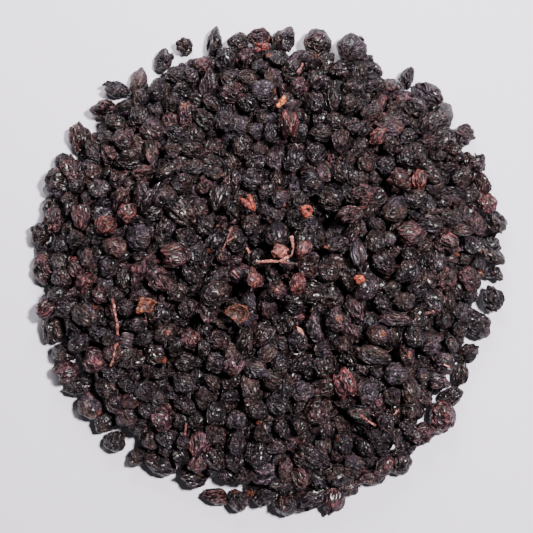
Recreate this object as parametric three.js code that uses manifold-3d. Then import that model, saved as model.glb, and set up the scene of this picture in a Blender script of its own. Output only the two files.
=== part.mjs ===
// A round, low heap of dried elderberries as it lies on a flat surface, with broken pieces of
// their stalks, two empty husks, a few unripe berries and crumbs of skin and seed on top.
// Millimetres, +Z up. The origin is on the surface, under the middle of the heap's box.
import * as THREE from "three";
import { ConvexHull } from "three/addons/math/ConvexHull.js";
import { mergeVertices } from "three/addons/utils/BufferGeometryUtils.js";
import Module from "manifold-3d";

const wasm = await Module();
wasm.setup();
const { Manifold, Mesh } = wasm;

// Driving dimensions of the heap.
const HEAP_RADIUS = 49.4; // mean radius of the heap's outer edge
const HEAP_HEIGHT = 14.2; // surface to the tops of the middle berries
const FLANK_POWER = 3.2; // how late the level top turns into the flank: about 32 degrees at the rim
const BERRY = 4.5; // mean width of a dried berry
const SIZE_SPREAD = 0.14; // how far a berry's size strays from the mean, as a share of it
const HEIGHT_SPREAD = 0.45; // how far a berry sits above or below its neighbours
const EDGE_SPREAD = 1; // how far a berry of the rim lies in or out of line
const SHRIVEL = 0.12; // how far a berry's surface strays in or out, as a share of its radius
const SHOULDER = 50; // degrees from a berry's crown to the ring of shoulders round it
const CELL_SHARE = 0.84; // how near a shoulder comes to the furrow beside it
const TOP_SPACING = 4.95; // between neighbours on the top and the flank
const RIM_SPACING = 5.1; // between neighbours along the rim
const UNDER_SPACING = 7.6; // between neighbours underneath
const NUDGE = 0.17; // how far a berry strays from an even layout, as a share of the spacing
const FURROW_DEPTH = 0.4; // the furrows between berries, in from the level of the berries' middles
const RIM_LEVEL = 1.95; // height of the heap's widest line, which the rim's berries lie along
const RIM_INSET = 2.7; // the widest line, in from the heap's outer edge
const UNDER_LEVEL = 1.9; // height of the middles of the berries underneath
const REST_FLAT = 1.5; // radius of the flat under such a berry
const REST_GAP = 0.12; // under all berries but the lowest ones, which carry the heap

// The edge isn't quite a circle: waves round it, as [count, height, direction in degrees].
const EDGE_WAVES = [
  [2, 0.6, 170],
  [3, 0.75, 127],
  [4, 0.38, 100],
];

// The heap is carried under its middle and at three places round it, as [x, y].
const LOW_PLACES = [
  [0, 0],
  [0, 31],
  [-27, -15.5],
  [27, -15.5],
];

// What lies on the heap sits in a bed cut with this clearance round it.
const BED_GAP = 0.35;
const STALK_SINK = 0.15; // a stalk's middle, below the tops of the berries
const STALK_SIDES = 6;
const STALK_STEP = 2; // length of one step along a stalk

// Broken stalks: a width, and the branches as lists of [x, y].
const FORK = [[3, 1.6], [4, 2.2], [5.2, 2.9], [5.6, 4.2], [5.2, 6.9]];
const LONG = [[-31.1, -5.8], [-30.4, -9.9], [-30, -11.4], [-30.5, -15.4], [-31.1, -18.5], [-31.7, -19.8]];
const TWIG = [[-6.6, 8.7], [-7.9, 5.6], [-9.5, 2.1]];
const STALKS = {
  stalk_forked: { width: 0.9, branches: [[[-1.7, 1.5], [0.6, 1.7], [3, 1.6], [6.5, 1.1]], FORK] },
  stalk_long: { width: 0.8, branches: [LONG] },
  stalk_branched: { width: 0.6, branches: [TWIG, [[-7.9, 5.6], [-6.1, 6.6]]] },
  stalk_thin: { width: 0.6, branches: [[[19, -29.4], [22.6, -32.1]]] },
  stalk_short_1: { width: 0.7, branches: [[[6.2, -11.4], [7.8, -13.2]]] },
  stalk_short_2: { width: 0.7, branches: [[[6.6, 40.1], [7.8, 42.5]]] },
  stalk_short_3: { width: 0.7, branches: [[[-16.1, -31.3], [-16.5, -33.9]]] },
  stalk_short_4: { width: 0.7, branches: [[[32.3, -8.9], [34.5, -8.7]]] },
};

// Single berries, husks and crumbs: the middle as [x, y], the size as [length, width, height],
// the turn in degrees, how far the top stands over the heap, and for a husk the share of it that
// is open.
const PIECES = {
  husk_amber: { at: [-24, -7.1], size: [4.5, 3.1, 2.8], turn: 12, proud: 0.9, open: 0.62 },
  husk_brown: { at: [-5.7, -8.8], size: [4.7, 3.9, 3.2], turn: -20, proud: 0.7, open: 0.66 },
  berry_red_pointed: { at: [-2.3, -1.5], size: [4.6, 3.5, 3.4], turn: 100, proud: 0.6 },
  berry_red_long: { at: [6.5, -2.8], size: [4.9, 3.5, 3.4], turn: 70, proud: 0.6 },
  berry_brown: { at: [2.9, 4.6], size: [3.3, 2.6, 2.4], turn: 25, proud: 0.5 },
  skin_orange: { at: [-3.4, 13.3], size: [3.7, 2.6, 1.6], turn: 60, proud: 0.7 },
  skin_red: { at: [-0.8, 45.8], size: [3.3, 2.1, 1.5], turn: -5, proud: 0.6 },
  seed_orange: { at: [3.2, 34.1], size: [2.5, 1.6, 1.4], turn: 95, proud: 0.6 },
};

const RIPE = { color: 0x2a2226, roughness: 0.5 };
const STRAW = { color: 0xc07a6c, roughness: 0.7 };
const PIECE_COLOURS = {
  husk_amber: 0xa9713c,
  husk_brown: 0x6b4632,
  berry_red_pointed: 0x8c3328,
  berry_red_long: 0xa2472c,
  berry_brown: 0x7a4f3a,
  skin_orange: 0xb8512c,
  skin_red: 0xa34632,
  seed_orange: 0xc27a3e,
};

const GOLDEN_ANGLE = Math.PI * (3 - Math.sqrt(5));
const HEXAGON_SHARE = Math.sin(Math.PI / 3); // ground that one berry takes, over its spacing squared
const UP = new THREE.Vector3(0, 0, 1);
const { degToRad } = THREE.MathUtils;

// Seeded random numbers, the same on every run.
let seed = 20261;
function random() {
  seed = (Math.imul(seed, 1664525) + 1013904223) >>> 0;
  return seed / 2 ** 32;
}
const stray = (amount) => (2 * random() - 1) * amount;

function edgeRadius(angle) {
  let radius = HEAP_RADIUS;
  for (const [count, height, direction] of EDGE_WAVES) {
    radius += height * Math.cos(count * angle - degToRad(direction));
  }
  return radius;
}

// Height of the berries' tops. share is the distance from the middle as a share of the edge radius.
const heapHeight = (share) => BERRY + (HEAP_HEIGHT - BERRY) * (1 - share ** FLANK_POWER);
const topAt = (x, y) => heapHeight(Math.min(1, Math.hypot(x, y) / edgeRadius(Math.atan2(y, x))));

// Outward direction of the heap's upper side at a point.
function facing(x, y) {
  const step = 0.5;
  const slopeX = (topAt(x + step, y) - topAt(x - step, y)) / (2 * step);
  const slopeY = (topAt(x, y + step) - topAt(x, y - step)) / (2 * step);
  return new THREE.Vector3(-slopeX, -slopeY, 1).normalize();
}

// An even layout of a round area: each place is turned by the golden angle from the one before
// it and then nudged. Gives [angle, share of the edge radius].
function layout(spacing, radius) {
  const count = Math.round((Math.PI * radius ** 2) / (HEXAGON_SHARE * spacing ** 2));
  return Array.from({ length: count }, (_, i) => {
    const reach = radius * Math.sqrt((i + 0.5) / count);
    const x = reach * Math.cos(i * GOLDEN_ANGLE) + stray(NUDGE * spacing);
    const y = reach * Math.sin(i * GOLDEN_ANGLE) + stray(NUDGE * spacing);
    return [Math.atan2(y, x), Math.hypot(x, y) / HEAP_RADIUS];
  });
}

// A berry of the heap's outside: its middle, its radius, the way it faces, and its place on a
// lens shape, whose hull tells which berries are neighbours.
function berry(angle, share, side) {
  const reach = share * edgeRadius(angle);
  const radius = (BERRY / 2) * (1 + stray(SIZE_SPREAD));
  const outward = new THREE.Vector3(Math.cos(angle), Math.sin(angle), 0);
  const middle = outward.clone().multiplyScalar(reach);
  const onLens = outward.clone().multiplyScalar(share);
  onLens.z = (1 - share ** 2) * (side === "under" ? -1 : 1);
  if (side === "under") {
    middle.z = UNDER_LEVEL;
    return { middle, radius, face: UP.clone().negate(), side, onLens };
  }
  if (side === "rim") {
    middle.addScaledVector(outward, -RIM_INSET).setZ(RIM_LEVEL);
    return { middle, radius, face: outward, side, onLens };
  }
  middle.z = topAt(middle.x, middle.y) - radius + stray(HEIGHT_SPREAD);
  return { middle, radius, face: facing(middle.x, middle.y), side, onLens };
}

const rimCount = Math.round((2 * Math.PI * (HEAP_RADIUS - BERRY / 2)) / RIM_SPACING);
const rimAngle = (i) => ((i + stray(NUDGE)) / rimCount) * 2 * Math.PI;

function outerBerries() {
  const inner = HEAP_RADIUS - BERRY;
  return [
    ...layout(TOP_SPACING, inner).map(([angle, share]) => berry(angle, share, "top")),
    ...Array.from({ length: rimCount }, (_, i) => berry(rimAngle(i), 1, "rim")),
    ...layout(UNDER_SPACING, inner).map(([angle, share]) => berry(angle, share, "under")),
  ];
}

// The neighbours as triangles of three berry numbers each, counter-clockwise from outside.
function neighbourTriangles(berries) {
  const places = new Map(berries.map(({ onLens }, i) => [onLens, i]));
  const hull = new ConvexHull().setFromPoints([...places.keys()]);
  return hull.faces.map(({ edge }) => {
    const corners = [edge.head(), edge.next.head(), edge.next.next.head()];
    return corners.map((corner) => places.get(corner.point));
  });
}

// For each berry, the triangles round it in counter-clockwise order.
function rounds(triangles, count) {
  const leaving = new Map();
  const starts = [];
  triangles.forEach((corners, t) => {
    corners.forEach((from, k) => {
      const to = corners[(k + 1) % 3];
      leaving.set(`${from} ${to}`, [t, corners[(k + 2) % 3]]);
      starts[from] = to;
    });
  });
  return Array.from({ length: count }, (_, i) => {
    const round = [];
    let next = starts[i];
    do {
      const [t, after] = leaving.get(`${i} ${next}`);
      round.push(t);
      next = after;
    } while (next !== starts[i]);
    return round;
  });
}

function centroid(points) {
  const sum = new THREE.Vector3();
  for (const point of points) sum.add(point);
  return sum.divideScalar(points.length);
}

// The numbers of the berries that carry the heap: the nearest one underneath each low place.
function lowestBerries(berries) {
  return LOW_PLACES.map(([x, y]) => {
    const away = berries.map(({ middle, side }) => {
      return side === "under" ? Math.hypot(middle.x - x, middle.y - y) : Infinity;
    });
    return away.indexOf(Math.min(...away));
  });
}

// The heap's surface. A furrow point lies between each three neighbours, and every berry rises
// from its furrow points over a ring of shoulders to its crown, or to the flat that it lies on.
// Along the rim it is left plain, and whole berries are joined to it.
function heapGeometry() {
  const berries = outerBerries();
  const lowest = lowestBerries(berries);
  const triangles = neighbourTriangles(berries);
  const furrows = triangles.map((corners) => {
    const depths = corners.map((i) => berries[i].face.clone().multiplyScalar(FURROW_DEPTH));
    return centroid(corners.map((i) => berries[i].middle)).sub(centroid(depths));
  });
  const points = [...furrows];
  const faces = [];
  const add = (point) => points.push(point) - 1;
  const fan = (top, ring) => ring.forEach((from, k) => faces.push([top, from, ring[(k + 1) % ring.length]]));

  rounds(triangles, berries.length).forEach((round, i) => {
    const { middle, radius, face, side } = berries[i];
    if (side === "rim") {
      fan(add(middle), round);
      return;
    }
    const ring = round.map((t) => {
      const across = furrows[t].clone().sub(middle).projectOnPlane(face);
      const room = CELL_SHARE * across.length();
      if (side === "under") {
        const resting = lowest.includes(i) ? 0 : REST_GAP;
        return add(middle.clone().add(across.setLength(Math.min(room, REST_FLAT))).setZ(resting));
      }
      const reach = radius * (1 + stray(SHRIVEL));
      const shoulder = middle.clone().addScaledVector(face, reach * Math.cos(degToRad(SHOULDER)));
      return add(shoulder.add(across.setLength(Math.min(room, reach * Math.sin(degToRad(SHOULDER))))));
    });
    ring.forEach((inner, k) => {
      const next = (k + 1) % ring.length;
      faces.push([inner, round[k], round[next]], [inner, round[next], ring[next]]);
    });
    if (side === "top") fan(add(middle.clone().addScaledVector(face, radius)), ring);
    else for (let k = 2; k < ring.length; k++) faces.push([ring[0], ring[k - 1], ring[k]]);
  });
  return new THREE.BufferGeometry().setFromPoints(points).setIndex(faces.flat());
}

// A closed three.js geometry as a solid for the joins and cuts.
function solid(geometry) {
  const bare = new THREE.BufferGeometry().setAttribute("position", geometry.getAttribute("position"));
  if (geometry.index) bare.setIndex(geometry.index);
  const merged = mergeVertices(bare, 1e-4);
  return new Manifold(
    new Mesh({
      numProp: 3,
      vertProperties: merged.attributes.position.array,
      triVerts: new Uint32Array(merged.index.array),
    }),
  );
}

function geometryOf(made) {
  const { vertProperties, triVerts } = made.getMesh();
  const geometry = new THREE.BufferGeometry()
    .setAttribute("position", new THREE.BufferAttribute(new Float32Array(vertProperties), 3))
    .setIndex(new THREE.BufferAttribute(new Uint32Array(triVerts), 1));
  geometry.computeVertexNormals();
  return geometry;
}

// An irregular lump with 20 faces round the origin.
function lump(length, width, height) {
  const ball = new THREE.BufferGeometry();
  ball.setAttribute("position", new THREE.IcosahedronGeometry(0.5, 0).getAttribute("position"));
  const merged = mergeVertices(ball);
  const corners = merged.getAttribute("position");
  for (let i = 0; i < corners.count; i++) {
    const corner = new THREE.Vector3().fromBufferAttribute(corners, i).multiplyScalar(1 + stray(SHRIVEL));
    corners.setXYZ(i, corner.x, corner.y, corner.z);
  }
  return merged.scale(length, width, height);
}

// The berries of the outermost ring lie on the surface side by side, some further out.
function rimBerries() {
  return Array.from({ length: rimCount }, (_, i) => {
    const angle = rimAngle(i);
    const width = BERRY * (1.04 + stray(SIZE_SPREAD));
    const ball = lump(1.08 * width, width, 0.94 * width).rotateX(stray(0.6)).rotateZ(stray(Math.PI));
    ball.computeBoundingBox();
    const reach = edgeRadius(angle) - BERRY / 2 + stray(EDGE_SPREAD);
    ball.translate(reach * Math.cos(angle), reach * Math.sin(angle), REST_GAP - ball.boundingBox.min.z);
    return solid(ball);
  });
}

// A tube through places on the heap, with both ends lengthened by extra.
function tube(places, width, extra) {
  const points = places.map(([x, y]) => new THREE.Vector3(x, y, topAt(x, y) - STALK_SINK));
  if (extra > 0) {
    const [first, second] = points;
    const [before, last] = points.slice(-2);
    const onward = last.clone().sub(before).setLength(extra);
    first.add(first.clone().sub(second).setLength(extra));
    last.add(onward);
  }
  const section = Array.from({ length: STALK_SIDES }, (_, i) => {
    const angle = (i / STALK_SIDES) * 2 * Math.PI;
    return new THREE.Vector2(Math.cos(angle), Math.sin(angle)).multiplyScalar(width / 2);
  });
  const extrudePath = new THREE.CatmullRomCurve3(points);
  const steps = Math.ceil(extrudePath.getLength() / STALK_STEP);
  return solid(new THREE.ExtrudeGeometry(new THREE.Shape(section), { extrudePath, steps }));
}

// A broken stalk, and the bed it lies in, which is wide enough to keep the gap at its six flats.
function stalk({ width, branches }) {
  const joined = (across, extra) => Manifold.union(branches.map((places) => tube(places, across, extra)));
  const bedWidth = width + (2 * BED_GAP) / Math.cos(Math.PI / STALK_SIDES);
  return { made: joined(width, 0), bed: joined(bedWidth, BED_GAP) };
}

// A single berry, husk or crumb, dished on top where it is open, and the bed it lies in.
function piece({ at: [x, y], size, turn, proud, open }) {
  const lying = new THREE.Matrix4()
    .makeRotationFromQuaternion(new THREE.Quaternion().setFromUnitVectors(UP, facing(x, y)))
    .multiply(new THREE.Matrix4().makeRotationZ(degToRad(turn)))
    .setPosition(x, y, topAt(x, y) + proud - size[2] / 2);
  const whole = lump(...size);
  const scaled = (share) => whole.clone().scale(share, share, share);
  const nearestFace = 0.34 * Math.min(...size);
  const made = solid(scaled(1).applyMatrix4(lying));
  const bed = solid(scaled(1 + BED_GAP / nearestFace).applyMatrix4(lying));
  if (!open) return { made, bed };
  const hollow = scaled(open).translate(0, 0, size[2] / 3).applyMatrix4(lying);
  return { made: made.subtract(solid(hollow)), bed };
}

const root = new THREE.Group();
function addMesh(name, made, finish) {
  const mesh = new THREE.Mesh(geometryOf(made), new THREE.MeshStandardMaterial({ ...finish, metalness: 0 }));
  mesh.name = name;
  root.add(mesh);
}

// The heap is one body: of what the cuts leave, the largest is kept, so crumbs are dropped and
// sealed pores filled.
const joined = Manifold.union([solid(heapGeometry()), ...rimBerries()]);
const beds = [];
for (const [name, form] of Object.entries(STALKS)) {
  const { made, bed } = stalk(form);
  addMesh(name, made, STRAW);
  beds.push(bed);
}
for (const [name, form] of Object.entries(PIECES)) {
  const { made, bed } = piece(form);
  addMesh(name, made, { color: PIECE_COLOURS[name], roughness: 0.5 });
  beds.push(bed);
}
const bodies = joined.subtract(Manifold.union(beds)).decompose();
const heap = bodies.reduce((largest, body) => (body.volume() > largest.volume() ? body : largest));
addMesh("berry_heap", heap, RIPE);

const { min, max } = heap.boundingBox();
root.position.set(-(min[0] + max[0]) / 2, -(min[1] + max[1]) / 2, 0);

export default root;
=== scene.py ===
import math
from functools import partial

import bpy
import numpy as np
from mathutils import Matrix, Vector


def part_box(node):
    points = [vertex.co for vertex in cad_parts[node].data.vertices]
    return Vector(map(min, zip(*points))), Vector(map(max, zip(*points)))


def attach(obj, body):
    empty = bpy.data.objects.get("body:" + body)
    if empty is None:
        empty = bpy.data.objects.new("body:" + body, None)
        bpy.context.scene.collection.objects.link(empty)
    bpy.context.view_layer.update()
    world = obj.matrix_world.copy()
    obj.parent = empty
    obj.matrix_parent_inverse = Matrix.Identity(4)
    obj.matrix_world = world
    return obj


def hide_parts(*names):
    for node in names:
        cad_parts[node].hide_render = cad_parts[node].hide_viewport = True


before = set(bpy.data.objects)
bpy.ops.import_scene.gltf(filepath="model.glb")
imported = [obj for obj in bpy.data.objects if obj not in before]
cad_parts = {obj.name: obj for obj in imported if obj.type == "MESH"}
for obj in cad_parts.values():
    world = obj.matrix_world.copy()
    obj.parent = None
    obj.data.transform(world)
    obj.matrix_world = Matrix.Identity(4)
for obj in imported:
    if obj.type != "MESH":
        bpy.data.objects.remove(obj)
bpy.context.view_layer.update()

# ----------------------------------------
# The view. The camera looks straight down on the heap, which nearly fills a square picture.
# Lengths here are in metres.
VIEW_MIDDLE = (0.00134, 0.00077)
VIEW_WIDTH = 0.1093
VIEW_LEVEL = 0.009
NEAREST = 0.01
LENS_MM = 85
SENSOR_MM = 36


def look_down():
    distance = VIEW_WIDTH * LENS_MM / SENSOR_MM
    bpy.ops.object.camera_add(location=(*VIEW_MIDDLE, VIEW_LEVEL + distance), rotation=(0, 0, 0))
    camera = bpy.context.object
    camera.data.lens = LENS_MM
    camera.data.sensor_width = SENSOR_MM
    camera.data.clip_start = NEAREST
    bpy.context.scene.camera = camera


look_down()

# ----------------------------------------
# The mound. Dried berries poured out on a flat surface and patted into a low round heap. They
# lie as they fell: each rests on its neighbours, and nothing holds them. From here on, lengths
# are in millimetres, and places are from the mound's middle.
MM = 0.001
MOUND_MIDDLE = (1.14, 0.15)
MOUND_RADIUS = 49.4
MOUND_HEIGHT = 14.2
RIM_HEIGHT = 4.5
FLANK_POWER = 3.2
# The waves of the edge: how many go round, their height, and their direction in degrees.
EDGE_WAVES = ((2, 0.6, 170), (3, 0.75, 127), (4, 0.38, 100))

BERRY_COUNT = 1140
BERRY_RADIUS = 1.98
BERRY_SPREAD = 0.27
SMALLEST, LARGEST = 1.35, 2.8
# How far a berry may stand over the mound, and how far each listed one does.
PROUD_RANGE = (-0.8, 0.4)
PROUD_PLACED = 0.3
# Round the heap lies a ring of larger berries, one deep and with gaps, that rolled off it: how
# far inside the mound's edge the heap ends for it and how unevenly, how far its berries stray from
# the edge, their sizes against the others', and how unevenly they are spaced.
RING_COUNT = 52
RING_WIDTH, RING_UNEVENNESS = 4.2, 0.6
RING_STRAY = 1.2
RING_SIZES = (1.0, 1.35)
RING_SPACING = 0.3
# Where the ring stands off from the heap: the direction in degrees, and how far.
RIM_GAPS = ((338, 1.5), (213, 1.8), (250, 1.4), (310, 1.0))
RIM_GAP_WIDTH = 17
# How far the berries spread past the edge, how much more on one side, and that side's angle.
SPREAD = (0.8, 0.9, 30)

# How berries settle: the steps, how often neighbours are looked up and how near they are, how
# much of an overlap a step clears, how far it may push a berry, and how far each sinks in it.
STEPS = 320
LOOK_UP = 10
NEAR = 1.2
CLEARED = 0.9
FARTHEST_PUSH = 0.6
SINK = 0.03
# How much of its way back a listed berry makes in a step, and how far it is raised.
PLACED_PULL = 0.3
PLACED_RISE = 0.1
# How high above the surface berries rest, and how much of them hides others, in radii.
REST_SHARE = 0.96
SOLID_SHARE = 0.9

# Broken stalks and splinters that lie on the heap: the width, the shade at either end, from 0,
# salmon pink, to 1, dark brown, and the places each branch runs through. A third number of a
# place is how far the stalk dips there.
STALKS = {
    "stalk_forked": (0.9, (0.18, 0.9), ((-1.7, 1.5), (0.6, 1.7), (3, 1.6), (6.5, 1.1)),
                     ((3, 1.6), (4, 2.2), (5.2, 2.9), (5.6, 4.2), (5.2, 6.9))),
    "stalk_long": (0.75, (0.36, 0.4),
                   ((-31.1, -5.8), (-30.4, -9.9, 0.3), (-30, -11.4), (-30.2, -13, 0.2),
                    (-30.3, -13.8, 3), (-30.4, -14.9, 3), (-30.6, -15.7, 0.2),
                    (-31.1, -18.5), (-31.7, -19.8))),
    "stalk_branched": (0.45, (0.45, 0.6), ((-6.6, 8.7), (-7.9, 5.6), (-9.5, 2.1)),
                       ((-7.9, 5.6), (-6.1, 6.6))),
    "stalk_thin": (0.6, (0.3, 0.4), ((19, -29.4), (22.6, -32.1))),
    "stalk_short_1": (0.7, (0.2, 0.2), ((6.2, -11.4), (7.8, -13.2))),
    "stalk_short_2": (0.7, (0.4, 0.5), ((6.6, 40.1), (7.8, 42.5))),
    "stalk_short_3": (0.7, (0.5, 0.6), ((-16.1, -31.3), (-16.5, -33.9))),
    "stalk_short_4": (0.7, (0.5, 0.6), ((32.3, -8.9), (34.5, -8.7))),
    "splinter_1": (0.5, (0.3, 0.6), ((-6.5, -0.2), (-5.2, -1.8))),
    "splinter_2": (0.5, (0.2, 0.5), ((-3.8, 4.4), (-3.1, 3.2))),
    "splinter_3": (0.5, (0.2, 0.3), ((26.2, -29.8), (27.1, -28.8))),
    "splinter_4": (0.5, (0.0, 0.0), ((36.6, -19.5), (38.0, -20.2))),
}
STALK_SINK = 0.15

# Single pieces that lie on the heap: place, size, turn in degrees, and height of the top over it.
SINGLES = {
    "husk_amber": ((-24, -7.1), (4.8, 3.4, 2.8), 12, 0.9),
    "husk_brown": ((-5.7, -8.8), (5.2, 4.1, 3.2), -12, 0.7),
    "berry_red_pointed": ((-2.3, -1.5), (4.6, 3.5, 3.4), 100, 0.6),
    "berry_red_long": ((6.5, -2.8), (4.9, 3.5, 3.4), 70, 0.6),
    "berry_brown": ((2.9, 4.6), (3.6, 3.1, 2.5), 25, 0.5),
    "berry_reddish": ((7.7, 4.05), (4.4, 3.1, 3.0), 62, 0.3),
    "skin_orange": ((-3.4, 13.3), (3.7, 2.6, 1.6), 60, 0.7),
    "skin_red": ((-0.8, 45.8), (3.3, 2.1, 1.5), -5, 0.6),
    "seed_orange": ((3.2, 34.1), (2.5, 1.6, 1.4), 95, 0.6),
    "skin_ring": ((8.2, 11.7), (2.9, 2.5, 1.3), 60, 0.5),
    "skin_patch": ((19.0, -1.9), (2.4, 2.0, 1.5), 10, 0.5),
}
# Where along a single piece's length the balls are that keep berries out of it.
BALLS_AT = (-0.22, 0.0, 0.22)

# Berries that stand out, by place: the radius, the ripeness, from 0, black, over 0.5, burgundy,
# to 1, orange-brown, the kind, and the way its length points in degrees, or the end that shows.
NOTABLE = (
    ((2.6, 6.9), 2.6, 0.12, "plump", "crown"),
    ((2.2, -4.0), 2.0, 0.45, "plump", "scar"), ((4.6, 29.8), 2.2, 0.64, "ribbed", 95),
    ((22.0, 32.3), 1.9, 0.42, "netted", 20), ((27.2, 18.1), 2.2, 0.5, "folded", 0),
    ((31.5, 18.3), 1.6, 0.76, "ribbed", 90), ((23.3, 27.6), 1.7, 0.68, "ribbed", 40),
    ((46.2, 14.0), 2.0, 0.6, "folded", 120), ((37.4, 5.0), 2.2, 0.5, "folded", 150),
    ((30.0, 7.5), 2.3, 0.55, "ribbed", 10), ((17.5, 11.4), 2.1, 0.5, "folded", 30),
    ((-25.1, -0.7), 2.2, 0.6, "folded", 70), ((-22.2, -1.7), 2.4, 0.42, "folded", 130),
    ((-18.1, 2.8), 2.5, 0.52, "ribbed", 5), ((-28.5, 11.7), 2.1, 0.68, "folded", 15),
    ((-32.9, 8.9), 2.0, 0.68, "netted", 60), ((-40.7, 20.6), 2.2, 0.45, "folded", 100),
    ((-44.2, 11.0), 2.2, 0.5, "folded", 80), ((-45.2, -7.9), 2.2, 0.55, "ribbed", 40),
    ((-41.2, -21.2), 2.2, 0.55, "ribbed", 20), ((-21.4, -31.1), 2.2, 0.56, "folded", 120),
    ((16.1, -23.1), 2.1, 0.74, "ribbed", 105), ((14.7, -47.8), 2.3, 0.56, "ribbed", 70),
    ((20.6, -43.8), 2.0, 0.5, "folded", 20), ((24.7, -41.6), 2.1, 0.45, "netted", 50),
    ((32.2, -34.7), 2.5, 0.5, "folded", 10), ((20.6, -3.4), 2.0, 0.3, "netted", 60),
    ((29.1, -17.4), 2.1, 0.4, "folded", "scar"), ((37.0, -1.9), 2.1, 0.52, "folded", 50),
    ((14.7, -10.2), 2.2, 0.3, "netted", "scar"), ((22.9, -13.2), 2.1, 0.3, "plump", "scar"),
    ((-20.7, -12.8), 2.0, 0.2, "netted", "scar"), ((-10.3, -4.6), 2.5, 0.16, "plump", 20),
    ((-6.4, -19.2), 2.0, 0.5, "ribbed", 60), ((33.2, 30.2), 2.2, 0.2, "plump", 50),
    ((-30.8, -14.4), 1.6, 0.1, "netted", 60),
)


def edge_radius(angle):
    radius = MOUND_RADIUS
    for count, height, direction in EDGE_WAVES:
        radius = radius + height * np.cos(count * angle - math.radians(direction))
    return radius


def top_height(x, y):
    share = np.minimum(np.hypot(x, y) / edge_radius(np.arctan2(y, x)), 1)
    return RIM_HEIGHT + (MOUND_HEIGHT - RIM_HEIGHT) * (1 - share ** FLANK_POWER)


def in_frame(place):
    """A place on the mound as the frame has it, in metres."""
    return (Vector(place) + Vector((*MOUND_MIDDLE, 0))) * MM


def single_place(name, lift=0.0):
    """The middle of a single piece as it lies on the heap, or lifted off it."""
    (x, y), size, _, proud = SINGLES[name]
    return in_frame((x, y, float(top_height(x, y)) + proud - size[2] / 2 + lift))


def stalk_route(places, step=0.5):
    """Places at even steps along a stalk, as it lies on the tops of the berries."""
    places = [np.array((*place, 0)[:3]) for place in places]
    route = []
    for one, other in zip(places, places[1:]):
        count = max(2, round(math.hypot(*(other - one)[:2]) / step))
        route += [one + t * (other - one) for t in np.arange(count) / count]
    route.append(places[-1])
    return [(x, y, float(top_height(x, y)) - STALK_SINK - dip) for x, y, dip in route]


def bedded():
    """Balls for all that lies in the berries' way: the stalks and the single pieces."""
    balls = []
    for width, _, *branches in STALKS.values():
        for branch in branches:
            balls += [(*place, 0.5 * width) for place in stalk_route(branch)]
    for (x, y), (length, width, height), turn, proud in SINGLES.values():
        z = float(top_height(x, y)) + proud - height / 2
        way = Vector((math.cos(math.radians(turn)), math.sin(math.radians(turn))))
        for along in BALLS_AT:
            radius = 0.25 * (width + height)
            balls.append((x + along * length * way.x, y + along * length * way.y, z, radius))
    return np.array(balls)


def near_pairs(places, radii):
    gap = np.linalg.norm(places[:, None] - places[None], axis=2) - radii[:, None] - radii[None]
    return np.nonzero(np.triu(gap < NEAR, 1))


def scatter(random):
    """Random places in the mound and its ring, with each berry's radius, how far it may stand
    over the mound, and how far it may lie past its edge."""
    notable = np.array([(*place, radius) for place, radius, *_ in NOTABLE])
    placed = slice(0, len(notable))
    ring = slice(BERRY_COUNT - RING_COUNT, BERRY_COUNT)
    radii = np.clip(random.normal(BERRY_RADIUS, BERRY_SPREAD, BERRY_COUNT), SMALLEST, LARGEST)
    radii[placed] = notable[:, 2]
    angle = random.uniform(0, 2 * math.pi, BERRY_COUNT)
    reach = np.sqrt(random.uniform(0, 1, BERRY_COUNT)) * (edge_radius(angle) - radii)
    places = np.column_stack([reach * np.cos(angle), reach * np.sin(angle), radii])
    places[placed, :2] = notable[:, :2]
    level = random.uniform(0, 1, BERRY_COUNT)
    level[placed] = 1
    places[:, 2] += level * (top_height(places[:, 0], places[:, 1]) - 2 * radii)
    proud = random.uniform(*PROUD_RANGE, BERRY_COUNT)
    proud[placed] = PROUD_PLACED
    loose = -random.uniform(RING_WIDTH - RING_UNEVENNESS, RING_WIDTH + RING_UNEVENNESS, BERRY_COUNT)
    loose[ring] = random.uniform(-RING_STRAY, RING_STRAY, RING_COUNT)
    loose[placed] = RING_STRAY
    shift = random.uniform(-RING_SPACING, RING_SPACING, RING_COUNT)
    angle = 2 * math.pi * (np.arange(RING_COUNT) + shift) / RING_COUNT
    places[ring, 0] = edge_radius(angle) * np.cos(angle)
    places[ring, 1] = edge_radius(angle) * np.sin(angle)
    radii[ring] *= random.uniform(*RING_SIZES, RING_COUNT)
    return places, radii, proud, loose


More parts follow.
